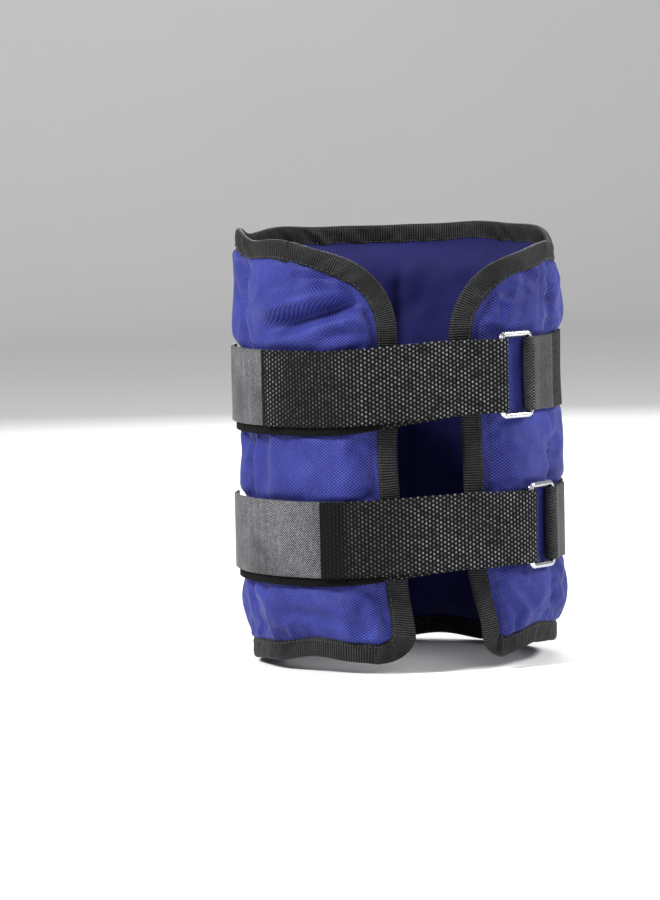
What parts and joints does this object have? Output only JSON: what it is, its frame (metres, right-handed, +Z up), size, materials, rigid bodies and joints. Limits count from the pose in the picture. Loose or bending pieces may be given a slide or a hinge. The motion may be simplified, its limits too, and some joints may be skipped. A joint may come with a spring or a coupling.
{
  "type": "ankle cuff weight",
  "caption": "Padded, weight-filled wrap that closes round the lower leg with webbing straps folded through metal rings and held by hook and loop tape.",
  "frame": {"origin": "on the axis of the bore that the leg goes through, half way up the cuff", "axes": "+Z up along the bore, the front gap between the two edges faces -Y, +X towards the rings"},
  "size_m": [0.1692, 0.1709, 0.214],
  "materials": {
    "cover_fabric": "satin",
    "lining_fabric": "matte",
    "pouch_fabric": "matte",
    "iron_sand": "matte",
    "binding_tape": "satin",
    "webbing": "satin",
    "loop_pile": "matte",
    "hook_tape": "satin",
    "ring_metal": "polished"
  },
  "bodies": {
    "cuff": {"outer_cover": "cover_fabric", "inner_lining": "lining_fabric", "pouch_bag_1": "pouch_fabric", "pouch_bag_2": "pouch_fabric", "pouch_bag_3": "pouch_fabric", "pouch_bag_4": "pouch_fabric", "pouch_bag_5": "pouch_fabric", "pouch_bag_6": "pouch_fabric", "sand_fill_1": "iron_sand", "sand_fill_2": "iron_sand", "sand_fill_3": "iron_sand", "sand_fill_4": "iron_sand", "sand_fill_5": "iron_sand", "sand_fill_6": "iron_sand", "top_binding": "binding_tape", "bottom_binding": "binding_tape", "left_edge_binding": "binding_tape", "right_edge_binding": "binding_tape", "upper_band": "webbing", "upper_loop_tape": "loop_pile", "upper_keeper": "webbing", "lower_band": "webbing", "lower_loop_tape": "loop_pile", "lower_keeper": "webbing"},
    "upper_buckle": {"upper_ring": "ring_metal"},
    "upper_tail": {"upper_strap_tail": "webbing", "upper_hook_tape": "hook_tape"},
    "lower_buckle": {"lower_ring": "ring_metal"},
    "lower_tail": {"lower_strap_tail": "webbing", "lower_hook_tape": "hook_tape"}
  },
  "joints": [
    {"name": "upper_ring_pivot", "type": "hinge", "parent": "cuff", "child": "upper_buckle", "pos_m": [0.05226, -0.06523, 0.038], "axis": [0, 0, 1], "range_deg": [0, 40]},
    {"name": "upper_strap_peel", "type": "hinge", "parent": "upper_buckle", "child": "upper_tail", "pos_m": [0.03572, -0.07556, 0.038], "axis": [0, 0, 1], "range_deg": [0, 120]},
    {"name": "lower_ring_pivot", "type": "hinge", "parent": "cuff", "child": "lower_buckle", "pos_m": [0.06514, -0.05237, -0.038], "axis": [0, 0, 1], "range_deg": [0, 40]},
    {"name": "lower_strap_peel", "type": "hinge", "parent": "lower_buckle", "child": "lower_tail", "pos_m": [0.05123, -0.06604, -0.038], "axis": [0, 0, 1], "range_deg": [0, 120]}
  ]
}
